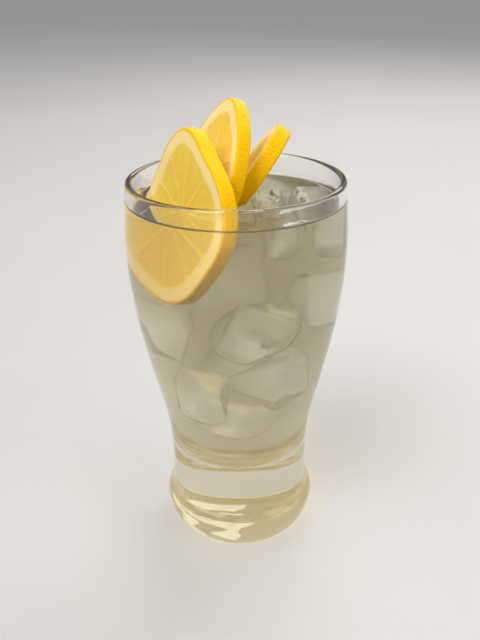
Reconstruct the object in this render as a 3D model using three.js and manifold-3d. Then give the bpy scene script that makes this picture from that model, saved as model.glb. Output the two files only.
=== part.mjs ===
// A glass of lemon water: a heavy-footed tumbler, the drink in it, three lemon wheels that stand
// in the drink, and the two pieces of ice that poke out of its surface.
// Millimetres, +Z up, the glass on the Z axis with its foot at z = 0. The wheels fan from -X.

import * as THREE from 'three';
import { mergeVertices } from 'three/addons/utils/BufferGeometryUtils.js';
import { ConvexGeometry } from 'three/addons/geometries/ConvexGeometry.js';
import Module from 'manifold-3d';

// Glass: the outer side as [radius, height] points of two smooth curves that meet in a crease.
// The hollow under the foot has one bend, at a share of its radius and depth.
const FOOT = [[25.7, 0], [27.7, 2.4], [29.7, 6.5], [30.8, 12], [30.2, 15.2], [28.9, 17]];
const BODY = [
  [28.9, 17], [28.1, 22], [28.0, 34], [29.3, 50], [34.0, 70],
  [38.5, 90], [41.3, 110], [42.1, 125], [41.6, 138], [41.0, 147.7],
];
const FOOT_STEPS = 7;
const BODY_STEPS = 15;
const RIM_RADIUS = 1.3;
const RIM_STEPS = 5;
const WALL_AT_RIM = 2.6;
const WALL_AT_FLOOR = 3.2;
const FLOOR_Z = 32;
const FLOOR_MEETS_WALL_Z = 47;
const FLOOR_EDGE_INSET = 0.4;
const FLOOR_STEPS = 6;
const PUNT_RADIUS = 19;
const PUNT_DEPTH = 1.4;
const PUNT_BEND = [0.6, 0.75];
const ROUND_STEPS = 56;

// Drink
const LEVEL_Z = 140.5;
const GAP = 0.3;

// Lemon wheels: where the centre of the shown face is, how far it is turned from the front and
// leant back, and its own sizes. The outline is a circle with a few low waves and a blunt tip.
const SEGMENTS = 10;
const STEPS_PER_SEGMENT = 5;
const SEGMENT_JITTER = 0.2;
const FLESH_RELIEF = 0.5;
const FLESH_FILL = [0, 0.8, 1, 1, 0.8];
const CORE_SHARE = 0.08;
const FLESH_FROM = 0.22;
const FLESH_TO = 0.77;
const PITH_FROM = 0.82;
const EDGE_SHARE = 0.975;
const EDGE_DROP = 0.5;
const TIP_WIDTH = 0.3;
const WHEELS = {
  lemon_slice_front: {
    centre: [-20.0, -10.9, 137.4], turned: 60.9, leant: 7.1, spin: 5,
    radius: 29.3, thickness: 5.7, waves: { 2: [-0.2, 1.4], 3: [0.2, -0.5], 4: [1.0, -1.1] }, tip: 1.6, seed: 3,
  },
  lemon_slice_middle: {
    centre: [-10.8, 6.5, 148.9], turned: 72.3, leant: 20, spin: -12,
    radius: 27.0, thickness: 5.2, waves: { 3: [0.2, 0.2], 4: [0.4, 0] }, tip: 1.6, seed: 11,
  },
  lemon_slice_back: {
    centre: [2.2, 15.0, 146.5], turned: 94.9, leant: 36.7, spin: 9,
    radius: 21.9, thickness: 6.2, waves: { 3: [-0.2, 0.1], 4: [0.45, 0] }, tip: 1.6, seed: 23,
  },
};

// Ice that pokes out of the drink: size, height of the ridge along its top, centre, and turn
// in degrees about X, Y and Z
const ICE_CHAMFER = 2.2;
const ICE_JITTER = 1.4;
const ICE_RIDGE_SHARE = 0.42;
const ICE_GAP = 0.4;
const ICE = {
  ice_left: { size: [10.5, 24, 21], ridge: 0.8, centre: [13.2, 5.0, 131.0], turn: [5, -6, -6], seed: 5 },
  ice_right: { size: [13.8, 27, 21], ridge: 2.6, centre: [27.8, 2.5, 131.0], turn: [-4, 3, 5], seed: 8 },
};

const COLOURS = {
  glass: { color: 0xdfe6dc, roughness: 0.05, transparent: true, opacity: 0.35 },
  drink: { color: 0xb4aa7e, roughness: 0.15, transparent: true, opacity: 0.8 },
  lemon: { color: 0xf3cb3c, roughness: 0.5 },
  ice: { color: 0xe4e8e2, roughness: 0.1, transparent: true, opacity: 0.6 },
};

const wasm = await Module();
wasm.setup();

// Seeded draw in 0..1
function makeDraw(seed) {
  let state = seed * 2654435761 >>> 0;
  return () => {
    state = state + 0x6d2b79f5 >>> 0;
    let t = Math.imul(state ^ state >>> 15, 1 | state);
    t = t + Math.imul(t ^ t >>> 7, 61 | t) ^ t;
    return ((t ^ t >>> 14) >>> 0) / 4294967296;
  };
}

// Points of a smooth curve through the given [radius, height] pairs
function smooth(pairs, steps) {
  const curve = new THREE.SplineCurve(pairs.map(([r, z]) => new THREE.Vector2(r, z)));
  return curve.getPoints(steps);
}

// Solid of revolution about Z from a profile of (radius, height) points
function roundSolid(points) {
  return new THREE.LatheGeometry(points, ROUND_STEPS).rotateX(Math.PI / 2);
}

// Wall of the cavity, from the floor's edge up to the given height, with a gap to the glass
function cavityWall(body, topZ, gap) {
  const low = FLOOR_MEETS_WALL_Z;
  const high = BODY[BODY.length - 1][1];
  const inner = ({ x, y }) => {
    const share = (y - low) / (high - low);
    return new THREE.Vector2(x - THREE.MathUtils.lerp(WALL_AT_FLOOR, WALL_AT_RIM, share) - gap, y);
  };
  const wall = body.filter((p) => p.y > low && p.y < topZ).map(inner);
  if (topZ < high) {
    const after = body.find((p) => p.y >= topZ);
    const before = body[body.indexOf(after) - 1];
    wall.push(inner(before.clone().lerp(after, (topZ - before.y) / (after.y - before.y))));
  }
  return wall;
}

// Rounded floor of the cavity, from the axis out to the wall
function cavityFloor(wall, gap) {
  const reach = wall[0].x - FLOOR_EDGE_INSET;
  const depth = FLOOR_MEETS_WALL_Z - FLOOR_Z;
  const floor = [];
  for (let i = 0; i < FLOOR_STEPS; i++) {
    const a = Math.PI / 2 * i / FLOOR_STEPS;
    floor.push(new THREE.Vector2(reach * Math.sin(a), FLOOR_MEETS_WALL_Z - depth * Math.cos(a) + gap));
  }
  return floor;
}

function makeGlass(body) {
  const foot = smooth(FOOT, FOOT_STEPS);
  const [bendRadius, bendDepth] = PUNT_BEND;
  const punt = [
    new THREE.Vector2(0, PUNT_DEPTH),
    new THREE.Vector2(PUNT_RADIUS * bendRadius, PUNT_DEPTH * bendDepth),
    new THREE.Vector2(PUNT_RADIUS, 0),
  ];
  const top = body[body.length - 1];
  const rim = [];
  for (let i = 1; i < RIM_STEPS; i++) {
    const a = Math.PI * i / RIM_STEPS;
    rim.push(new THREE.Vector2(top.x - RIM_RADIUS * (1 - Math.cos(a)), top.y + RIM_RADIUS * Math.sin(a)));
  }
  const wall = cavityWall(body, Infinity, 0);
  const floor = cavityFloor(wall, 0);
  const inside = [...floor, ...wall].reverse();
  return roundSolid([...punt, ...foot, ...body.slice(1), ...rim, ...inside]);
}

function makeDrink(body) {
  const wall = cavityWall(body, LEVEL_Z, GAP);
  const floor = cavityFloor(wall, GAP);
  return roundSolid([...floor, ...wall, new THREE.Vector2(0, LEVEL_Z)]);
}

// Radius of a wheel's outline at an angle from its top, clockwise as the face is seen
function outlineRadius({ radius, waves, tip }, angle) {
  let r = radius;
  for (const [count, [c, s]] of Object.entries(waves)) {
    r += c * Math.cos(count * angle) + s * Math.sin(count * angle);
  }
  const fromTop = Math.atan2(Math.sin(angle), Math.cos(angle));
  return r + tip * Math.exp(-((fromTop / TIP_WIDTH) ** 2));
}

// Angles round a wheel: each segment starts at a membrane and has the same number of steps
function wheelAngles({ spin, seed }) {
  const draw = makeDraw(seed);
  const width = 2 * Math.PI / SEGMENTS;
  const starts = [];
  for (let s = 0; s < SEGMENTS; s++) {
    starts.push(THREE.MathUtils.degToRad(spin) + width * (s + SEGMENT_JITTER * (draw() - 0.5)));
  }
  const angles = [];
  for (let s = 0; s < SEGMENTS; s++) {
    const next = s + 1 < SEGMENTS ? starts[s + 1] : starts[0] + 2 * Math.PI;
    for (let k = 0; k < STEPS_PER_SEGMENT; k++) {
      angles.push(THREE.MathUtils.lerp(starts[s], next, k / STEPS_PER_SEGMENT));
    }
  }
  return angles;
}

// Closed disc from rings of points: each ring has its share of the outline and a height drop
function discFromRings(wheel, rings, grow) {
  const angles = wheelAngles(wheel);
  const count = angles.length;
  const half = wheel.thickness / 2 + grow;
  const position = [0, 0, half, 0, 0, -half];
  const index = [];
  for (const side of [1, -1]) {
    for (const { share, drop } of rings) {
      angles.forEach((angle, k) => {
        const r = share * (outlineRadius(wheel, angle) + grow);
        position.push(r * Math.sin(angle), r * Math.cos(angle), side * (half - drop(k)));
      });
    }
  }
  const at = (face, ring, k) => 2 + (face * rings.length + ring) * count + k % count;
  const tri = (face, a, b, c) => index.push(...(face === 0 ? [a, b, c] : [a, c, b]));
  for (let k = 0; k < count; k++) {
    for (const face of [0, 1]) {
      tri(face, face, at(face, 0, k + 1), at(face, 0, k));
      for (let ring = 0; ring + 1 < rings.length; ring++) {
        tri(face, at(face, ring, k), at(face, ring, k + 1), at(face, ring + 1, k + 1));
        tri(face, at(face, ring, k), at(face, ring + 1, k + 1), at(face, ring + 1, k));
      }
    }
    const last = rings.length - 1;
    index.push(at(0, last, k), at(0, last, k + 1), at(1, last, k + 1));
    index.push(at(0, last, k), at(1, last, k + 1), at(1, last, k));
  }
  const geometry = new THREE.BufferGeometry();
  geometry.setAttribute('position', new THREE.Float32BufferAttribute(position, 3));
  geometry.setIndex(index);
  return geometry;
}

// A wheel of lemon: flesh a little lower than the pith and membranes, and a soft outer edge
function lemonWheel(wheel) {
  const level = () => 0;
  const flesh = (k) => FLESH_RELIEF * FLESH_FILL[k % STEPS_PER_SEGMENT];
  return discFromRings(wheel, [
    { share: CORE_SHARE, drop: level },
    { share: FLESH_FROM, drop: flesh },
    { share: FLESH_TO, drop: flesh },
    { share: PITH_FROM, drop: level },
    { share: EDGE_SHARE, drop: level },
    { share: 1, drop: () => EDGE_DROP },
  ], 0);
}

// The room that a wheel takes in the drink, with the gap all round
function wheelRoom(wheel) {
  return discFromRings(wheel, [{ share: 1, drop: () => 0 }], GAP);
}

// An uneven block of ice with its corners cut off
function iceBlock({ size, ridge, seed }) {
  const draw = makeDraw(seed);
  const top = size[2] / 2 + ridge;
  const points = [-1, 1].map((s) => new THREE.Vector3(s * ICE_RIDGE_SHARE * size[0], 0, top));
  for (const sx of [-1, 1]) {
    for (const sy of [-1, 1]) {
      for (const sz of [-1, 1]) {
        const corner = [sx, sy, sz].map((s, i) => s * (size[i] / 2 - ICE_JITTER * draw()));
        for (let axis = 0; axis < 3; axis++) {
          const p = corner.map((c, i) => (i === axis ? c : c - Math.sign(c) * ICE_CHAMFER));
          points.push(new THREE.Vector3(...p));
        }
      }
    }
  }
  return new ConvexGeometry(points);
}

// The room that a block of ice takes in the drink
function iceRoom(block) {
  return iceBlock(block).scale(...block.size.map((s) => 1 + 2 * ICE_GAP / s));
}

// Places: the wheel's own axes are across, up and out of the shown face
function placeWheel(mesh, { centre, turned, leant, thickness }) {
  const a = THREE.MathUtils.degToRad(turned);
  const b = THREE.MathUtils.degToRad(leant);
  const across = new THREE.Vector3(Math.cos(a), -Math.sin(a), 0);
  const level = new THREE.Vector3(-Math.sin(a), -Math.cos(a), 0);
  const out = level.clone().multiplyScalar(Math.cos(b)).add(new THREE.Vector3(0, 0, Math.sin(b)));
  const up = out.clone().cross(across);
  mesh.quaternion.setFromRotationMatrix(new THREE.Matrix4().makeBasis(across, up, out));
  mesh.position.set(...centre).addScaledVector(out, -thickness / 2);
}

function placeIce(mesh, { centre, turn }) {
  mesh.position.set(...centre);
  mesh.rotation.set(...turn.map(THREE.MathUtils.degToRad));
}

function named(name, geometry, look) {
  const mesh = new THREE.Mesh(geometry, new THREE.MeshStandardMaterial(look));
  mesh.name = name;
  return mesh;
}

// A geometry as a solid in the object's frame, and back
function toSolid(geometry, matrix) {
  const bare = geometry.clone().applyMatrix4(matrix);
  bare.deleteAttribute('normal');
  bare.deleteAttribute('uv');
  const merged = mergeVertices(bare);
  const all = merged.index.array;
  const kept = [];
  for (let i = 0; i < all.length; i += 3) {
    const [a, b, c] = [all[i], all[i + 1], all[i + 2]];
    if (a !== b && b !== c && c !== a) {
      kept.push(a, b, c);
    }
  }
  return new wasm.Manifold(new wasm.Mesh({
    numProp: 3,
    vertProperties: new Float32Array(merged.attributes.position.array),
    triVerts: new Uint32Array(kept),
  }));
}

function fromSolid(solid) {
  const { vertProperties, triVerts } = solid.getMesh();
  const geometry = new THREE.BufferGeometry();
  geometry.setAttribute('position', new THREE.Float32BufferAttribute(vertProperties, 3));
  geometry.setIndex([...triVerts]);
  return geometry;
}

// The drink's body: what is left of it round the wheels and the ice, without loose slivers
function cutDrink(whole, rooms) {
  let solid = toSolid(whole, new THREE.Matrix4());
  for (const { geometry, matrix } of rooms) {
    solid = solid.subtract(toSolid(geometry, matrix));
  }
  const bodies = solid.decompose().sort((p, q) => q.volume() - p.volume());
  return fromSolid(bodies[0]);
}

const object = new THREE.Group();
const body = smooth(BODY, BODY_STEPS);
const rooms = [];
object.add(named('glass', makeGlass(body), COLOURS.glass));

for (const [name, wheel] of Object.entries(WHEELS)) {
  const mesh = named(name, lemonWheel(wheel), COLOURS.lemon);
  placeWheel(mesh, wheel);
  mesh.updateMatrixWorld();
  object.add(mesh);
  rooms.push({ geometry: wheelRoom(wheel), matrix: mesh.matrixWorld });
}

for (const [name, block] of Object.entries(ICE)) {
  const mesh = named(name, iceBlock(block), COLOURS.ice);
  placeIce(mesh, block);
  mesh.updateMatrixWorld();
  object.add(mesh);
  rooms.push({ geometry: iceRoom(block), matrix: mesh.matrixWorld });
}

object.add(named('drink', cutDrink(makeDrink(body), rooms), COLOURS.drink));

export default object;
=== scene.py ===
# %% [markdown]
# # A glass of lemon water, dressed for its portrait
# The shapes that matter for size and collision are already made elsewhere. They are loaded here as
# a fixed frame: a footed tumbler, the drink in it, three wheels of lemon and two pieces of ice.
# This lesson gives each of them its fine form and its finish. Lengths are written in millimetres
# and turned into Blender's metres where a mesh is made.

# %% Load the frame
import math
import random
import bpy
from mathutils import Euler, Matrix, Vector, noise


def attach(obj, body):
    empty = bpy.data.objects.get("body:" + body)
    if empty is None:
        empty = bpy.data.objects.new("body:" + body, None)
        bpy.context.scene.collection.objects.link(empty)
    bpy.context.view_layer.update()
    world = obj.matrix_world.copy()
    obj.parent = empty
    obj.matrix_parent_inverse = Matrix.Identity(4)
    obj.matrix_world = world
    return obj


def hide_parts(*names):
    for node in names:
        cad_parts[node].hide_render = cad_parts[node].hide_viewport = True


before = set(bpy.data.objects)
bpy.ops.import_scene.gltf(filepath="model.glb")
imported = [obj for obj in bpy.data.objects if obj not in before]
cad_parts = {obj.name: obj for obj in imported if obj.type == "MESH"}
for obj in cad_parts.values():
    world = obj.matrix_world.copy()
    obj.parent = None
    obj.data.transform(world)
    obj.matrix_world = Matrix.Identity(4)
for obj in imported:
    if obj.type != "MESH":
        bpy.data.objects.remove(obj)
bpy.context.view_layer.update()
MM = 0.001
print("nodes:", ", ".join(sorted(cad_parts)))

# %% [markdown]
# ## The camera
# The photograph was taken from a little above, close to the glass, with the phone held upright.
# A lens can be measured from a picture when something round is in it: the rim, the foot and the
# level of the drink are all circles, and only one place and one lens turn them into the ellipses
# that the picture shows. Those numbers are used here.

# %% Camera
CAMERA_AT = (0, -306.77, 234.49)
TURN, DOWN, ROLL = -0.181, 25.118, -0.649  # degrees
lens = bpy.data.cameras.new("camera")
lens.sensor_width = 36
lens.lens = 47.81
lens.clip_start = 0.01
camera = bpy.data.objects.new("camera", lens)
bpy.context.scene.collection.objects.link(camera)
camera.matrix_world = (
    Matrix.Translation(Vector(CAMERA_AT) * MM)
    @ Matrix.Rotation(math.radians(TURN), 4, "Z")
    @ Matrix.Rotation(math.radians(90 - DOWN), 4, "X")
    @ Matrix.Rotation(math.radians(ROLL), 4, "Z")
)
bpy.context.scene.camera = camera
print("camera at", [round(v, 3) for v in camera.matrix_world.translation])

# %% [markdown]
# ## Small habits for working with operators
# An operator acts on everything that is selected, so each step starts from an empty selection and
# names the one object that it means. Writing that down once keeps the later cells short.

# %% Selecting one object
def deselect():
    if bpy.context.object and bpy.context.object.mode != "OBJECT":
        bpy.ops.object.mode_set(mode="OBJECT")
    bpy.ops.object.select_all(action="DESELECT")


def work_on(obj):
    deselect()
    obj.select_set(True)
    bpy.context.view_layer.objects.active = obj


def triangles(obj):
    return sum(len(p.vertices) - 2 for p in obj.data.polygons)


# %% [markdown]
# ## Shader sums
# A finish is a small calculation that runs at every point of a surface. Blender draws it as boxes
# and wires, but a sum is easier to read as a sum. This class holds one output of one node. Adding,
# subtracting and multiplying such values adds the Math nodes, and `node` adds any other kind.

# %% A socket that can be used in sums
class Shade:
    def __init__(self, tree, socket=None):
        self.tree = tree
        self.socket = socket

    def node(self, kind, settings=None, values=None, out=0):
        made = self.tree.nodes.new("ShaderNode" + kind)
        for key, value in (settings or {}).items():
            setattr(made, key, value)
        for key, value in (values or {}).items():
            if isinstance(value, Shade):
                self.tree.links.new(value.socket, made.inputs[key])
            else:
                made.inputs[key].default_value = value
        return Shade(self.tree, made.outputs[out]) if made.outputs else None

    def sum(self, operation, *terms):
        return self.node("Math", {"operation": operation}, dict(enumerate(terms)))

    def __add__(self, other):
        return self.sum("ADD", self, other)

    def __sub__(self, other):
        return self.sum("SUBTRACT", self, other)

    def __rsub__(self, other):
        return self.sum("SUBTRACT", other, self)

    def __mul__(self, other):
        return self.sum("MULTIPLY", self, other)

    __radd__ = __add__

    def step(self, low, high):
        smooth = {"interpolation_type": "SMOOTHSTEP"}
        return self.node("MapRange", smooth, {0: self, 1: low, 2: high})

    def mix(self, a, b):
        a, b = [(*c, 1) if isinstance(c, tuple) else c for c in (a, b)]
        return self.node("Mix", {"data_type": "RGBA"}, {0: self, 6: a, 7: b}, 2)


def finish(name):
    material = bpy.data.materials.new(name)
    material.use_nodes = True
    material.node_tree.nodes.clear()
    return material, Shade(material.node_tree)


def mottle(s, where, size_mm, detail=2.0):
    """Soft blotches of about that size, from 0 to 1."""
    return s.node("TexNoise", {}, {"Vector": where, "Scale": 1 / (size_mm * MM), "Detail": detail})


# %% [markdown]
# ## Clear finishes
# Glass, drink and ice are all clear. They differ in how far they bend light, in their tint and in
# how clean they are. The tint sits in the volume, so a thick foot is darker than a thin wall.
# A ray on its way to a lamp goes straight through with a small loss. The soft lamps then reach
# the fruit in the drink, which a path tracer would otherwise find only by luck.

# %% One recipe for what is clear
def clear_finish(s, bend, rough, normal, tint, density, to_lamp, milk=None, milk_and_glow_colour=None):
    body = s.node("BsdfPrincipled", {}, {
        "Base Color": (1, 1, 1, 1), "IOR": bend, "Transmission Weight": 1.0,
        "Roughness": rough, "Normal": normal,
    })
    # The milk share mixes in a diffuse: the drink's own cloudiness, and on the glass foot a painted
    # glow that stands in for reflected light.
    if milk:
        cloud_and_painted_glow = s.node("BsdfDiffuse", {}, {"Color": milk_and_glow_colour, "Normal": normal})
        body = s.node("MixShader", {}, {0: milk, 1: body, 2: cloud_and_painted_glow})
    straight = s.node("BsdfTransparent", {}, {"Color": (*to_lamp, 1)})
    lamp_ray = s.node("LightPath", out=1)
    surface = s.node("MixShader", {}, {0: lamp_ray, 1: body, 2: straight})
    sockets = {"Surface": surface}
    if density:
        dye = {"Color": (*tint, 1), "Density": density}
        sockets["Volume"] = s.node("VolumeAbsorption", {}, dye)
    s.node("OutputMaterial", {}, sockets)


def relief(s, height, depth_mm):
    return s.node("Bump", {}, {"Strength": 1.0, "Distance": depth_mm * MM, "Height": height})


# %% [markdown]
# ### Glass
# Pressed glass is never quite flat: slow waves from the mould bend what is behind it, and hands
# leave faint smears. Both are noise on the object's own coordinates, one in the relief and one in
# the roughness. A trace of olive in the volume shows in the rim and in the heavy foot.
# Looked at from above, the underside of a thick foot acts as a mirror and shows the lit drink over
# it, so the foot glows a pale cream. Paths that find this on their own are rare and noisy. So the
# underside, which is all that lies low and away from the foot's edge, gets a good share of a soft
# cream diffuse in their place: a painted glow, a painted reflection of the lit drink.

# %% Finish of the glass
PUNT_RADIUS, PUNT_DEPTH = 19, 1.4
UNDERSIDE_TO, FOOT_EDGE = 24.5, 26
glass_finish, s = finish("pressed_glass")
at = s.node("TexCoord", out=3)
smears = mottle(s, at, 14, 3).step(0.5, 0.8)
height = s.node("SeparateXYZ", {}, {0: at}, 2)
flat = s.node("VectorMath", {"operation": "MULTIPLY"}, {0: at, 1: (1, 1, 0)})
from_axis = s.node("VectorMath", {"operation": "LENGTH"}, {0: flat}, 1)
# Painted glow: the underside mask and its cream colour stand in for the lit drink that the foot
# mirrors.
low_down = 1 - height.step((PUNT_DEPTH + 0.1) * MM, (PUNT_DEPTH + 0.3) * MM)
painted_glow_mask = low_down * (1 - from_axis.step(UNDERSIDE_TO * MM, FOOT_EDGE * MM))
painted_glow_colour = mottle(s, at, 9, 3).mix((0.36, 0.32, 0.22), (0.56, 0.50, 0.37))
# Here the milk share is the painted glow of the underside, not a cloudiness of the glass.
clear_finish(
    s, bend=1.5, rough=smears * 0.035, normal=relief(s, mottle(s, at, 16), 0.12),
    tint=(0.84, 0.81, 0.66), density=20, to_lamp=(0.97, 0.97, 0.95),
    milk=painted_glow_mask * 0.85, milk_and_glow_colour=painted_glow_colour,
)
print("glass finish:", len(s.tree.nodes), "nodes")

# %% [markdown]
# ### Lemon water
# Juice makes the water cloudy: a warm grey-yellow that deepens with the length of the look
# through. Two things give that here. The volume takes away blue first, and a small share of the
# outer surface scatters light like thin milk. Under the surface the view is a little soft, while
# the top of the drink is clean and mirrors the light. The hollows round the ice have none of the
# milk, or each piece of ice would wear a grey veil, so the mesh will say where the milk is.

# %% Finish of the drink
LEVEL = 140.5
CLEAR_TOP, SOFT_FROM = 0.5, 2.5  # depths under the level
drink_finish, s = finish("lemon_water")
at = s.node("TexCoord", out=3)
height = s.node("SeparateXYZ", {}, {0: at}, 2)
under = 1 - height.step((LEVEL - SOFT_FROM) * MM, (LEVEL - CLEAR_TOP) * MM)
haze = 0.10 + mottle(s, at, 9) * 0.12
milky = s.node("Attribute", {"attribute_name": "milk"}, out=2)
clear_finish(
    s, bend=1.333, rough=0.01 + under * haze, normal=relief(s, mottle(s, at, 11), 0.1),
    tint=(0.71, 0.66, 0.44), density=38, to_lamp=(0.97, 0.96, 0.92),
    milk=milky * (0.02 + mottle(s, at, 25) * 0.05), milk_and_glow_colour=(0.76, 0.68, 0.42, 1),
)
print("drink finish:", len(drink_finish.node_tree.nodes), "nodes")

# %% [markdown]
# ### Ice
# Ice from a tray is clear at its skin, and it has slow melted waves and tiny pits. It bends light
# a touch less than water, so sunk ice is seen by its cleaner body and by its edges alone.

# %% Finish of the ice
ice_finish, s = finish("clear_ice")
at = s.node("TexCoord", out=3)
pits = mottle(s, at, 1.6, 3)
clear_finish(
    s, bend=1.31, rough=0.01 + mottle(s, at, 7).step(0.5, 0.8) * 0.08,
    normal=relief(s, mottle(s, at, 5) + pits * 0.15, 0.3),
    tint=(0.9, 0.92, 0.9), density=2, to_lamp=(0.97, 0.97, 0.96),
)
print("ice finish:", len(s.tree.nodes), "nodes")

# %% [markdown]
# ## Turning round shapes
# A tumbler and the drink in it are bodies of revolution. On a lathe the maker cuts one outline, and
# the turning does the rest. Here it is the same: one vertex is drawn along the outline by extruding
# it point by point, and then spun round the upright axis. The points come from a few named
# heights and radii, with a smooth curve through them.

# %% A smooth curve through a few points
def smooth_curve(pairs, steps):
    points = []
    for i in range(steps + 1):
        place = i / steps * (len(pairs) - 1)
        k = min(int(place), len(pairs) - 2)
        t = place - k
        p = [Vector(pairs[max(0, min(len(pairs) - 1, j))]) for j in (k - 1, k, k + 1, k + 2)]
        a, b = (p[2] - p[0]) / 2, (p[3] - p[1]) / 2
        cubic = 2 * p[1] - 2 * p[2] + a + b
        square = 3 * (p[2] - p[1]) - 2 * a - b
        points.append(cubic * t ** 3 + square * t ** 2 + a * t + p[1])
    return [(p.x, p.y) for p in points]


# %% Spinning an outline into a solid
def spun(name, outline, steps):
    deselect()
    r, z = outline[0]
    bpy.ops.mesh.primitive_plane_add(size=MM, location=(0, 0, 0))
    obj = bpy.context.object
    obj.name = obj.data.name = name
    bpy.ops.object.mode_set(mode="EDIT")
    bpy.ops.mesh.select_mode(type="VERT")
    bpy.ops.mesh.merge(type="CENTER")
    bpy.ops.transform.translate(value=(r * MM, 0, z * MM))
    for (r0, z0), (r1, z1) in zip(outline, outline[1:]):
        move = ((r1 - r0) * MM, 0, (z1 - z0) * MM)
        bpy.ops.mesh.extrude_vertices_move(TRANSFORM_OT_translate={"value": move})
    bpy.ops.mesh.select_all(action="SELECT")
    bpy.ops.mesh.spin(steps=steps, angle=2 * math.pi, center=(0, 0, 0), axis=(0, 0, 1))
    bpy.ops.mesh.select_all(action="SELECT")
    bpy.ops.mesh.remove_doubles(threshold=0.002 * MM)
    bpy.ops.mesh.normals_make_consistent(inside=False)
    bpy.ops.object.mode_set(mode="OBJECT")
    bpy.ops.object.shade_smooth_by_angle(angle=math.radians(40))
    return obj


# %% [markdown]
# ## The tumbler
# From the table up: a foot that swells like a cushion, a crease, a slim waist, and a bowl that
# opens to its widest just under the rim and then draws in again. The wall is about 3 mm thick, the
# rim is fire-polished round, and the foot is solid glass under a rounded floor. Underneath it is a
# little hollow, so that it stands on a ring.

# %% Outline of the tumbler
FOOT = [(25.7, 0), (27.7, 2.4), (29.7, 6.5), (30.8, 12), (30.2, 15.2), (28.9, 17)]
BODY = [
    (28.9, 17), (28.1, 22), (28.0, 34), (29.3, 50), (34.0, 70),
    (38.5, 90), (41.3, 110), (42.1, 125), (41.6, 138), (41.0, 147.7),
]
RIM_RADIUS = 1.3
WALL_AT_FLOOR, WALL_AT_RIM = 3.2, 2.6
FLOOR_Z, FLOOR_MEETS_WALL_Z = 32, 47
FLOOR_SET_IN, FLOOR_STEPS = 0.4, 20
body = smooth_curve(BODY, 60)


def cavity(top, into_wall):
    """The inside of the glass from the axis up to that height, pushed into the wall."""
    low, high = FLOOR_MEETS_WALL_Z, BODY[-1][1]
    wall = []
    for r, z in body:
        if low < z < top:
            share = (z - low) / (high - low)
            wall.append((r - WALL_AT_FLOOR + share * (WALL_AT_FLOOR - WALL_AT_RIM) + into_wall, z))
    reach = wall[0][0] - FLOOR_SET_IN
    floor = []
    for i in range(FLOOR_STEPS):
        a = math.pi / 2 * i / FLOOR_STEPS
        floor.append((reach * math.sin(a), low - (low - FLOOR_Z + into_wall) * math.cos(a)))
    return floor + wall


rim_top = body[-1]
RIM_STEPS, PUNT_STEPS = 12, 8
turns = [math.pi * i / RIM_STEPS for i in range(1, RIM_STEPS)]
rim = [
    (rim_top[0] - RIM_RADIUS * (1 - math.cos(a)), rim_top[1] + RIM_RADIUS * math.sin(a))
    for a in turns
]
punt = [
    (PUNT_RADIUS * i / PUNT_STEPS, PUNT_DEPTH * (1 - (i / PUNT_STEPS) ** 3))
    for i in range(PUNT_STEPS + 1)
]
outside = smooth_curve(FOOT, 24) + body[1:]
inside = cavity(rim_top[1] + 0.01, 0)
AROUND_GLASS = 144
tumbler = spun("tumbler", punt + outside + rim + inside[::-1], AROUND_GLASS)
tumbler.data.materials.append(glass_finish)
work_on(tumbler)
bpy.ops.object.shade_smooth_by_angle(angle=math.radians(20))
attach(tumbler, "root")
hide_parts("glass")
print("tumbler:", triangles(tumbler), "triangles")

# %% [markdown]
# ## Ice
# The two pieces that poke out of the drink keep the form that the frame gives them. A copy of each
# is melted a little: remeshed into small even faces, smoothed so that its corners go round, and
# pushed in and out by soft noise. They are fresh, so their facets stay crisp.
# Ice cracks when the drink is poured on it. A crack is a gap as thin as paper, and it shines like
# foil because light can't pass from ice into the air in it at a low angle. Each one is made as a
# thin wavy disc of air: a flattened ball, turned inside out and joined to the ice.

# %% Melting a block of ice
def melt(obj, voxel, rounds, wave):
    work_on(obj)
    grain = obj.modifiers.new("even", "REMESH")
    grain.mode = "VOXEL"
    grain.voxel_size = voxel * MM
    soft = obj.modifiers.new("soft", "SMOOTH")
    soft.factor, soft.iterations = 0.5, rounds
    bpy.ops.object.modifier_apply(modifier="even")
    bpy.ops.object.modifier_apply(modifier="soft")
    outwards = [v.normal.copy() for v in obj.data.vertices]
    for v, out in zip(obj.data.vertices, outwards):
        lift = noise.noise(v.co / (7 * MM)) * wave + noise.noise(v.co / (3 * MM)) * wave * 0.3
        v.co += out * lift * MM
    bpy.ops.object.shade_smooth()


# %% A crack
def crack(obj, centre, turn, reach, thin=0.05, bent=0.6):
    """A thin wavy gap inside the piece, as wide and long as the two numbers in reach."""
    deselect()
    bpy.ops.mesh.primitive_uv_sphere_add(segments=24, ring_count=12, radius=MM, location=(0, 0, 0))
    gap = bpy.context.object
    bpy.ops.object.mode_set(mode="EDIT")
    bpy.ops.transform.resize(value=(*reach, thin))
    bpy.ops.mesh.flip_normals()
    bpy.ops.object.mode_set(mode="OBJECT")
    for v in gap.data.vertices:
        v.co.z += noise.noise(Vector((v.co.x, v.co.y, sum(centre) * MM)) / (1.5 * MM)) * bent * MM
    turned = Euler([math.radians(a) for a in turn]).to_matrix().to_4x4()
    gap.data.transform(Matrix.Translation(Vector(centre) * MM) @ turned)
    work_on(obj)
    gap.select_set(True)
    bpy.ops.object.join()


# %% What every piece of ice gets
def keep_ice(obj):
    obj.data.materials.clear()
    obj.data.materials.append(ice_finish)
    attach(obj, "root")


# %% A hollow to match a piece of ice
ICE_OVERLAP = 0.12


def smaller_copy(obj, by=ICE_OVERLAP):
    """A copy whose surface lies that far inside the piece."""
    mesh = obj.data.copy()
    for v, w in zip(mesh.vertices, obj.data.vertices):
        v.co = w.co - w.normal * by * MM
    mesh.materials.clear()
    mesh.materials.append(drink_finish)
    copy = bpy.data.objects.new("hollow", mesh)
    bpy.context.scene.collection.objects.link(copy)
    return copy


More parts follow.
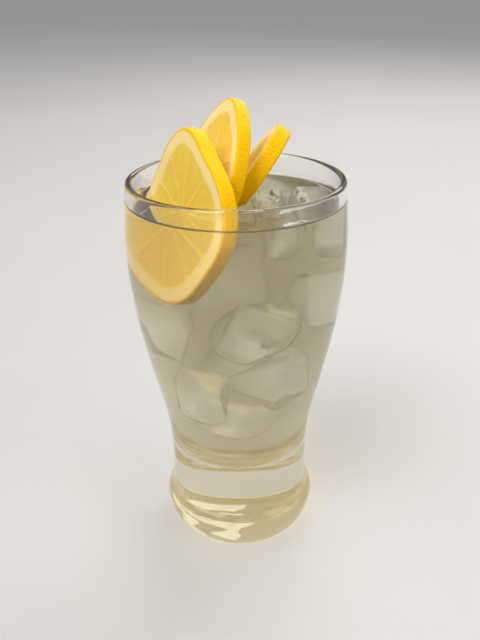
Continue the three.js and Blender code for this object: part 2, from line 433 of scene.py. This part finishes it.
# %% A row of cracks
CRACKS = {  # a row of small cracks: how many, from, to
    "ice_left": (9, (14.2, -3.5, 136.6), (14.0, 10.0, 137.6)),
    "ice_right": (13, (25.0, -6.0, 138.5), (26.6, 8.0, 139.2)),
    "front": (8, (7.5, -19.2, 93.0), (11.4, -18.4, 92.6)),
}


def crack_along(obj, count, first, last):
    draw = random.Random(count)
    for i in range(count):
        centre = Vector(first).lerp(Vector(last), i / (count - 1))
        centre.z += draw.uniform(-1.5, 0.6)
        turn = [draw.uniform(20, 160) for axis in range(3)]
        crack(obj, centre, turn, (draw.uniform(0.9, 1.9), draw.uniform(1.0, 2.3)))


# %% The pieces that poke out
hollows = []
for node in ("ice_left", "ice_right"):
    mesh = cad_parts[node].data.copy()
    piece = bpy.data.objects.new("floating_" + node, mesh)
    bpy.context.scene.collection.objects.link(piece)
    work_on(piece)
    bpy.ops.object.mode_set(mode="EDIT")
    bpy.ops.mesh.select_all(action="SELECT")
    bpy.ops.mesh.remove_doubles(threshold=0.01 * MM)
    bpy.ops.object.mode_set(mode="OBJECT")
    melt(piece, voxel=0.5, rounds=1, wave=0.1)
    hollows.append(smaller_copy(piece))
    crack_along(piece, *CRACKS[node])
    keep_ice(piece)
    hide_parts(node)
    print(piece.name, triangles(piece), "triangles")

# %% [markdown]
# ## The ice below
# Most of the ice is wholly sunk. Cubes from a tray taper a little, so one cube is modelled with a
# narrower bottom and chamfered edges. Copies of it, each with its own mesh, are sized and turned,
# a few corners are broken off with flat cuts, and then they are melted as before. All are set one
# by one so that none touches another, the wall or the fruit.

# %% One cube from a tray
HALF_CUBE, CHAMFER = 10, 1.6
TAPER = (0.8, 0.84, 1)
deselect()
bpy.ops.mesh.primitive_cube_add(size=2 * MM, location=(0, 0, 0))
cube = bpy.context.object
cube.name = cube.data.name = "tray_cube"
bpy.ops.object.mode_set(mode="EDIT")
bpy.ops.transform.resize(value=(HALF_CUBE, HALF_CUBE, HALF_CUBE))
bpy.ops.mesh.select_mode(type="FACE")
bpy.ops.mesh.select_all(action="DESELECT")
bpy.ops.object.mode_set(mode="OBJECT")
for face in cube.data.polygons:
    face.select = face.normal.z < -0.9
bpy.ops.object.mode_set(mode="EDIT")
bpy.ops.transform.resize(value=TAPER)
bpy.ops.mesh.select_all(action="SELECT")
bpy.ops.mesh.bevel(offset=CHAMFER * MM, segments=2, affect="EDGES")
bpy.ops.object.mode_set(mode="OBJECT")
print("tray cube:", triangles(cube), "triangles")

# %% Breaking corners off
CUTS, CUT_REACH, CUT_SPREAD = 3, 9.5, 2.0


def break_corners(obj, seed):
    """Three flat cuts, each across a corner that the seed picks."""
    work_on(obj)
    bpy.ops.object.mode_set(mode="EDIT")
    for i in range(CUTS):
        way = Vector((
            math.copysign(1, math.sin(seed * 3.7 + i * 2.1)),
            math.copysign(0.7, math.cos(seed * 5.3 + i * 1.3)),
            math.copysign(0.8, math.sin(seed * 2.9 + i * 4.7)),
        )).normalized()
        reach = (CUT_REACH + CUT_SPREAD * math.sin(seed + i * 2.6)) * MM
        bpy.ops.mesh.select_all(action="SELECT")
        bpy.ops.mesh.bisect(plane_co=way * reach, plane_no=way, use_fill=True, clear_outer=True)
    bpy.ops.object.mode_set(mode="OBJECT")


# %% Copies of the cube in the drink
SUNK = [  # name, half size, centre, turn in degrees
    ("front", (12.5, 9.5, 11.5), (5.0, -20.0, 98.0), (8, 28, 14)),
    ("right", (9.5, 12.0, 10.5), (23.5, 4.0, 102.0), (-14, 10, 30)),
    ("back", (12.0, 9.0, 11.5), (-3.0, 21.0, 105.0), (20, -12, -10)),
    ("left", (9.0, 11.5, 10.5), (-21.0, 1.0, 92.0), (12, -24, 8)),
    ("mid_front", (11.0, 9.5, 9.0), (11.0, -13.2, 73.5), (-18, -34, -22)),
    ("mid_left", (10.5, 9.0, 9.5), (-11.6, -12.8, 67.5), (26, 20, 35)),
    ("mid_back", (11.0, 10.0, 10.5), (3.0, 12.6, 75.0), (10, 30, 20)),
    ("low", (10.0, 8.5, 7.5), (-1.0, 2.0, 53.0), (16, 8, 50)),
]
sunk_ice, sunk_hollows = [], []
for word, half, centre, turn in SUNK:
    mesh = cube.data.copy()
    piece = bpy.data.objects.new("sunk_ice_" + word, mesh)
    bpy.context.scene.collection.objects.link(piece)
    break_corners(piece, len(sunk_ice) + 1)
    size = Matrix.Diagonal((*[h / HALF_CUBE for h in half], 1))
    turned = Euler([math.radians(a) for a in turn]).to_matrix().to_4x4()
    mesh.transform(Matrix.Translation(Vector(centre) * MM) @ turned @ size)
    melt(piece, voxel=0.8, rounds=2, wave=0.25)
    sunk_hollows.append(smaller_copy(piece))
    if word in CRACKS:
        crack_along(piece, *CRACKS[word])
    keep_ice(piece)
    sunk_ice.append(piece)
bpy.data.objects.remove(cube)
print(len(sunk_ice), "sunk pieces of", triangles(sunk_ice[0]), "triangles")

# %% [markdown]
# ## The drink
# The drink fills the glass to a level a finger under the rim. Its side reaches a third of a
# millimetre into the glass, because two clear bodies that only just touch show a silvery film of
# air. At the wall the water climbs a little, as it does in every glass.
# Where there is ice there is no drink, so the drink has a hollow round each piece. A hollow is a
# copy of the ice, a hair smaller, so that again no air shows.
# A few small bubbles hang under the ice and along the wall. Each is a ball of air, and so it is
# one more hollow in the drink.

# %% Turning the drink
INTO_WALL = 0.35
INNER_RING = 12
CLIMB, CLIMB_WIDTH, CLIMB_REACH, CLIMB_STEPS = 1.3, 1.6, 3, 14
wet_side = cavity(LEVEL + CLIMB, INTO_WALL)
edge_r = wet_side[-1][0]
away = [CLIMB_REACH * i / CLIMB_STEPS for i in range(CLIMB_STEPS + 1)]
climb = [
    (edge_r - INTO_WALL - CLIMB_WIDTH * a, LEVEL + CLIMB * math.exp(-3 * a))
    for a in away
]
surface = [(edge_r, LEVEL + CLIMB)] + climb + [(INNER_RING, LEVEL), (0, LEVEL)]
drink = spun("lemon_water", wet_side + surface, AROUND_GLASS)
drink.data.materials.append(drink_finish)
print("drink before the hollows:", triangles(drink), "triangles")


# %% Hollows for the ice and the bubbles
BUBBLES = [  # centre and radius
    ((13.0, -14.5, 138.6), 0.75), ((15.2, -15.6, 139.0), 0.55), ((11.6, -16.2, 138.9), 0.45),
    ((17.5, -14.0, 138.2), 0.5), ((20.5, -17.8, 137.6), 0.4), ((33.5, -13.0, 133.0), 0.4),
    ((27.0, -22.5, 124.0), 0.35), ((8.0, -27.0, 118.0), 0.4), ((24.0, -19.5, 88.0), 0.35),
    ((-4.0, -27.5, 84.0), 0.4), ((14.0, -21.0, 60.0), 0.35), ((-14.0, -26.0, 100.0), 0.35),
]
for tool in hollows:
    cut = drink.modifiers.new("cut", "BOOLEAN")
    cut.operation, cut.solver, cut.object = "DIFFERENCE", "EXACT", tool
    work_on(drink)
    bpy.ops.object.modifier_apply(modifier="cut")
    bpy.data.objects.remove(tool)
for tool in sunk_hollows:
    work_on(tool)
    bpy.ops.object.mode_set(mode="EDIT")
    bpy.ops.mesh.select_all(action="SELECT")
    bpy.ops.mesh.flip_normals()
    bpy.ops.object.mode_set(mode="OBJECT")
    work_on(drink)
    tool.select_set(True)
    bpy.ops.object.join()
for place, radius in BUBBLES:
    deselect()
    bpy.ops.mesh.primitive_ico_sphere_add(
        subdivisions=3, radius=radius * MM, location=[c * MM for c in place],
    )
    bubble = bpy.context.object
    bpy.ops.object.transform_apply(location=True)
    bubble.data.flip_normals()
    bubble.data.materials.append(drink_finish)
    work_on(drink)
    bubble.select_set(True)
    bpy.ops.object.join()
work_on(drink)
bpy.ops.object.shade_smooth_by_angle(angle=math.radians(40))
print("hollows:", len(hollows) + len(sunk_hollows), "for ice and", len(BUBBLES), "bubbles")

# %% Where the milk is
MILK_UNDER, NEAR_WALL, ICE_FROM = 0.2, 0.6, 43
milk = drink.data.attributes.new("milk", "FLOAT", "POINT")
for v in drink.data.vertices:
    r, z = v.co.xy.length / MM, v.co.z / MM
    wall = min(wet_side, key=lambda p: abs(p[1] - z))[0]
    outer = z < ICE_FROM or r > wall - NEAR_WALL
    milk.data[v.index].value = 1.0 if outer and z < LEVEL - MILK_UNDER else 0.0
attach(drink, "root")
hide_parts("drink")
print("drink with its hollows:", triangles(drink), "triangles")

# %% [markdown]
# ## A wheel of lemon
# Cut across, a lemon shows ten segments round a small white core. Each segment is packed with
# long juice sacs that point to the middle, and thin skins part the segments. Round them lie the
# white pith and the yellow rind with its oil pores.
# The disc is turned like the glass. Its points are then moved: outwards to the uneven outline of
# the real cut, round to where the skins are, and down where there is flesh. At the same time each
# point learns how deep in the flesh it lies and how far from the peel, for the finish to use.

# %% Sizes of the wheels
SEGMENTS = 10
SEGMENT_JITTER = 0.2
CORE = 2.0
FLESH_TO = 0.815
SKIN_HALF = 0.28
CORNER = 2.6
FLESH_DROP, FLESH_SLOPE = 0.34, 0.9
TIP_WIDTH = 0.3
WHEELS = {
    "lemon_slice_front": dict(
        centre=(-20.0, -10.9, 137.4), turned=60.9, leant=7.1, spin=5, radius=29.3, thickness=5.7,
        waves={2: (-0.2, 1.4), 3: (0.2, -0.5), 4: (1.0, -1.1)}, tip=1.6, seed=3,
    ),
    "lemon_slice_middle": dict(
        centre=(-10.8, 6.5, 148.9), turned=72.3, leant=20, spin=-12, radius=27.0, thickness=5.2,
        waves={3: (0.2, 0.2), 4: (0.4, 0)}, tip=1.6, seed=11,
    ),
    "lemon_slice_back": dict(
        centre=(2.2, 15.0, 146.5), turned=94.9, leant=36.7, spin=9, radius=21.9, thickness=6.2,
        waves={3: (-0.2, 0.1), 4: (0.45, 0)}, tip=1.6, seed=23,
    ),
}


def outline_radius(wheel, angle):
    r = wheel["radius"]
    for count, (c, s) in wheel["waves"].items():
        r += c * math.cos(count * angle) + s * math.sin(count * angle)
    from_top = math.atan2(math.sin(angle), math.cos(angle))
    return r + wheel["tip"] * math.exp(-((from_top / TIP_WIDTH) ** 2))


# %% Where the skins between the segments are
def draws(seed):
    """Seeded draws in 0..1, the same that shape the solids."""
    low32 = 0xFFFFFFFF
    state = seed * 2654435761 & low32
    while True:
        state = state + 0x6D2B79F5 & low32
        t = (state ^ state >> 15) * (1 | state) & low32
        t = (t + ((t ^ t >> 7) * (61 | t) & low32) & low32) ^ t
        yield (t ^ t >> 14) / 4294967296


def skin_angles(wheel):
    draw = draws(wheel["seed"])
    width = 2 * math.pi / SEGMENTS
    first = math.radians(wheel["spin"])
    starts = [first + width * (i + SEGMENT_JITTER * (next(draw) - 0.5)) for i in range(SEGMENTS)]
    return starts + [starts[0] + 2 * math.pi]


# %% How deep in the flesh a point lies
def flesh_depth(r, to_skin, reach):
    """Millimetres inside the flesh, below zero outside it. The segment's corners are round."""
    side = r * math.sin(min(to_skin, math.pi / 2)) - SKIN_HALF
    out = reach - r
    core = r - CORE
    if side < CORNER and out < CORNER:
        edge = CORNER - math.hypot(CORNER - side, CORNER - out)
    else:
        edge = min(side, out)
    return min(edge, core)


# %% Turning and shaping a wheel
RINGS = 44
AROUND = 240
CROWDING = 0.6  # how far points gather at the skins


def wheel_outline(radius, thickness, soft=0.7):
    """From the middle of one face over the rounded edge to the middle of the other."""
    half = thickness / 2
    face = [(max(0.0, (radius - soft) * (i / RINGS) ** 0.85), half) for i in range(RINGS + 1)]
    corner = [
        (radius - soft * (1 - math.sin(a)), half - soft * (1 - math.cos(a)))
        for a in [math.pi / 2 * i / 4 for i in range(1, 5)]
    ]
    half_way = face + corner + [(radius, half * 0.4)]
    return half_way + [(r, -z) for r, z in half_way[::-1]]


def shape_wheel(obj, wheel):
    """Moves each point of the disc to its place on the cut lemon."""
    starts = skin_angles(wheel)
    half = wheel["thickness"] / 2
    mesh = obj.data
    flesh = mesh.attributes.new("flesh", "FLOAT", "POINT")
    peel = mesh.attributes.new("peel", "FLOAT", "POINT")
    for v in mesh.vertices:
        x, y, z = v.co / MM
        r = math.hypot(x, y)
        place = (math.atan2(x, y) / (2 * math.pi) % 1) * SEGMENTS
        k = int(place) % SEGMENTS
        t = place - int(place)
        t -= CROWDING * math.sin(2 * math.pi * t) / (2 * math.pi)
        angle = starts[k] + t * (starts[k + 1] - starts[k])
        to_skin = min(t, 1 - t) * (starts[k + 1] - starts[k])
        limit = outline_radius(wheel, angle)
        r *= limit / wheel["radius"]
        deep = flesh_depth(r, to_skin, FLESH_TO * limit)
        on_face = abs(abs(z) - half) < 0.01
        if on_face and deep > 0:
            sink = min(1, deep / FLESH_SLOPE)
            sink = sink * sink * (3 - 2 * sink)
            plump = noise.noise(Vector((r * 0.35, angle * 6, math.copysign(3, z) + wheel["seed"])))
            z -= math.copysign(FLESH_DROP * sink * (0.8 + 0.35 * plump), z)
        flesh.data[v.index].value = deep if on_face else -1.0
        peel.data[v.index].value = limit - r if on_face else 0.0
        v.co = Vector((r * math.sin(angle), r * math.cos(angle), z)) * MM


# %% [markdown]
# The juice sacs need a map of their own: sideways round the wheel, and upwards from the core to
# the peel. Each segment gets its own strip of the map, so the pattern never runs across a skin.

# %% A map for the juice sacs
SIDEWAYS, STRIP = 14, 30


def map_sacs(obj, wheel):
    starts = skin_angles(wheel)
    mesh = obj.data
    sacs = mesh.uv_layers.new(name="sacs")
    for face in mesh.polygons:
        middle = face.center
        angle = math.atan2(middle.x, middle.y)
        same = (angle, angle + 2 * math.pi, angle - 2 * math.pi)
        k = next(i for i in range(SEGMENTS) for a in same if starts[i] <= a < starts[i + 1])
        mid = (starts[k] + starts[k + 1]) / 2
        for corner in face.loop_indices:
            at = mesh.vertices[mesh.loops[corner].vertex_index].co
            a = math.atan2(at.x, at.y) if at.xy.length > 1e-6 else angle
            off = math.remainder(a - mid, 2 * math.pi)
            sacs.data[corner].uv = (off * SIDEWAYS + k * STRIP, at.xy.length / MM)


# %% The place of a wheel
def place_matrix(wheel):
    a, b = math.radians(wheel["turned"]), math.radians(wheel["leant"])
    across = Vector((math.cos(a), -math.sin(a), 0))
    level = Vector((-math.sin(a), -math.cos(a), 0))
    out = level * math.cos(b) + Vector((0, 0, math.sin(b)))
    up = out.cross(across)
    turn = Matrix((across, up, out)).transposed().to_4x4()
    middle = Vector(wheel["centre"]) - out * wheel["thickness"] / 2
    return Matrix.Translation(middle * MM) @ turn


# %% [markdown]
# ### Peel, pith and flesh
# The finish reads what the points have learnt. Flesh is deep gold, and paler along the walls of
# each sac. Pith is warm cream, not white. The rind is a strong clear yellow and turns slightly
# darker in the pores. The cut flesh is wet, so a thin coat lies over it alone, and everywhere a
# little light soaks in. At the pith each sac begins at a depth of its own, so that edge is ragged.

# %% Finish of the lemon
def lemon_finish():
    material, s = finish("lemon_fruit")
    at = s.node("TexCoord", out=3)
    flesh = s.node("Attribute", {"attribute_name": "flesh"}, out=2)
    peel = s.node("Attribute", {"attribute_name": "peel"}, out=2)
    sacs = s.node("UVMap", {"uv_map": "sacs"})
    fine = mottle(s, at, 0.8, 2)
    broad = mottle(s, at, 6, 2)
    bent = s.node("VectorMath", {"operation": "MULTIPLY_ADD"}, {
        0: s.node("TexNoise", {}, {"Vector": sacs, "Scale": 0.45}, 1), 1: (1.6, 1.6, 0), 2: sacs,
    })
    drawn = s.node("VectorMath", {"operation": "MULTIPLY"}, {0: bent, 1: (0.62, 0.17, 1)})
    wall = s.node("TexVoronoi", {"feature": "DISTANCE_TO_EDGE"}, {"Vector": drawn, "Scale": 1.0})
    tone = s.node("TexVoronoi", {}, {"Vector": drawn, "Scale": 1.0}, 1)
    tone = s.node("SeparateXYZ", {}, {0: tone})
    sac = wall.step(0.0, 0.10) * 0.6 + 0.4
    at_pith = 1 - peel.step(5.6, 8.4)
    in_flesh = (flesh + (fine - 0.5) * 0.5 - at_pith * tone * 2.4).step(-0.1, 0.35)
    near_skin = 1 - flesh.step(0.2, 1.6)
    gold = (tone * 0.4 + broad * 0.6).mix((0.86, 0.55, 0.04), (0.96, 0.66, 0.09))
    meat = (sac * (1 - near_skin * 0.2)).mix((0.95, 0.65, 0.09), gold)
    skin_or_pith = (peel + (fine - 0.5) * 0.6).step(4.6, 6.4)
    pale = skin_or_pith.mix((1.0, 0.76, 0.31), (0.95, 0.66, 0.10))
    cut_face = in_flesh.mix(pale, meat)
    in_rind = 1 - (peel + (fine - 0.5) * 0.7 + (broad - 0.5) * 0.8).step(0.5, 1.5)
    pore = s.node("TexVoronoi", {"feature": "SMOOTH_F1"}, {"Vector": at, "Scale": 780.0})
    dimple = pore.step(0.05, 0.5)
    rind = (dimple * 0.4 + broad * 0.6).mix((0.82, 0.44, 0.0), (0.92, 0.54, 0.0))
    colour = in_rind.mix(cut_face, rind)
    height = in_flesh * sac * 0.35 + in_rind * dimple * 0.4 + fine * 0.12
    body = s.node("BsdfPrincipled", {}, {
        "Base Color": colour,
        "Roughness": 0.26 + (1 - in_flesh) * 0.14 + fine * 0.08,
        "Normal": relief(s, height, 0.3),
        "Subsurface Weight": 0.25,
        "Subsurface Radius": (1.0, 0.6, 0.15),
        "Subsurface Scale": 1.6 * MM,
        "Coat Weight": in_flesh * 0.2,
        "Coat Roughness": 0.12,
        "Specular IOR Level": 0.08,
    })
    s.node("OutputMaterial", {}, {"Surface": body})
    return material


# %% The three wheels
lemon_fruit = lemon_finish()
for name, wheel in WHEELS.items():
    outline = wheel_outline(wheel["radius"], wheel["thickness"])
    disc = spun(name.replace("slice", "wheel"), outline, AROUND)
    shape_wheel(disc, wheel)
    map_sacs(disc, wheel)
    disc.data.transform(place_matrix(wheel))
    disc.data.materials.append(lemon_fruit)
    work_on(disc)
    bpy.ops.object.shade_smooth_by_angle(angle=math.radians(50))
    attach(disc, "root")
    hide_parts(name)
    print(disc.name, triangles(disc), "triangles")

# %% [markdown]
# ## Table and light
# A plain pale floor and soft lamps. One large lamp stands high at the left, a second one behind
# lights the drink from inside, and a weak one at the right keeps the shaded side open. A narrow
# strip overhead draws the thin bright lines on the rim, and a far one evens out the floor.

# %% Floor
deselect()
bpy.ops.mesh.primitive_plane_add(size=14, location=(0, 4, -0.1 * MM))
floor = bpy.context.object
floor.name = "floor"
floor_finish, s = finish("pale_floor")
at = s.node("TexCoord", out=3)
grey = mottle(s, at, 220, 3).mix((0.50, 0.485, 0.475), (0.55, 0.535, 0.525))
body_shader = s.node("BsdfPrincipled", {}, {"Base Color": grey, "Roughness": 0.6})
s.node("OutputMaterial", {}, {"Surface": body_shader})
floor.data.materials.append(floor_finish)
print("floor of", round(floor.dimensions.x), "metres")

# %% Lamps
def lamp(name, place, size, power, colour=(1, 1, 1), aim=(0, 0, 0.08)):
    light = bpy.data.lights.new(name, "AREA")
    light.size, light.energy, light.color = size, power, colour
    obj = bpy.data.objects.new(name, light)
    obj.location = place
    obj.rotation_euler = (Vector(aim) - Vector(place)).to_track_quat("-Z", "Y").to_euler()
    bpy.context.scene.collection.objects.link(obj)
    return light


lamp("high_left", (-0.7, -0.5, 1.1), 1.1, 8.5, (1.0, 0.98, 0.94))
lamp("behind", (0.35, 0.8, 0.9), 0.9, 8, (1.0, 0.98, 0.94))
lamp("right", (0.9, -0.5, 0.5), 0.7, 2.5)
strip = lamp("strip_overhead", (0.1, 0.05, 0.9), 0.7, 2.0)
strip.shape, strip.size_y = "RECTANGLE", 0.05
sun = bpy.data.lights.new("far_lamp", "SUN")
sun.energy, sun.angle = 1.1, math.radians(25)
far = bpy.data.objects.new("far_lamp", sun)
far.rotation_euler = (math.radians(28), math.radians(-24), 0)
bpy.context.scene.collection.objects.link(far)
world = bpy.data.worlds.new("soft_room")
world.use_nodes = True
world.node_tree.nodes["Background"].inputs["Color"].default_value = (0.95, 0.97, 1.0, 1)
world.node_tree.nodes["Background"].inputs["Strength"].default_value = 0.28
bpy.context.scene.world = world
bpy.context.scene.view_settings.view_transform = "Standard"
cycles = bpy.context.scene.cycles
cycles.max_bounces = cycles.transmission_bounces = 28
cycles.transparent_max_bounces = 40
cycles.glossy_bounces = 8
print("five lamps and a soft room")
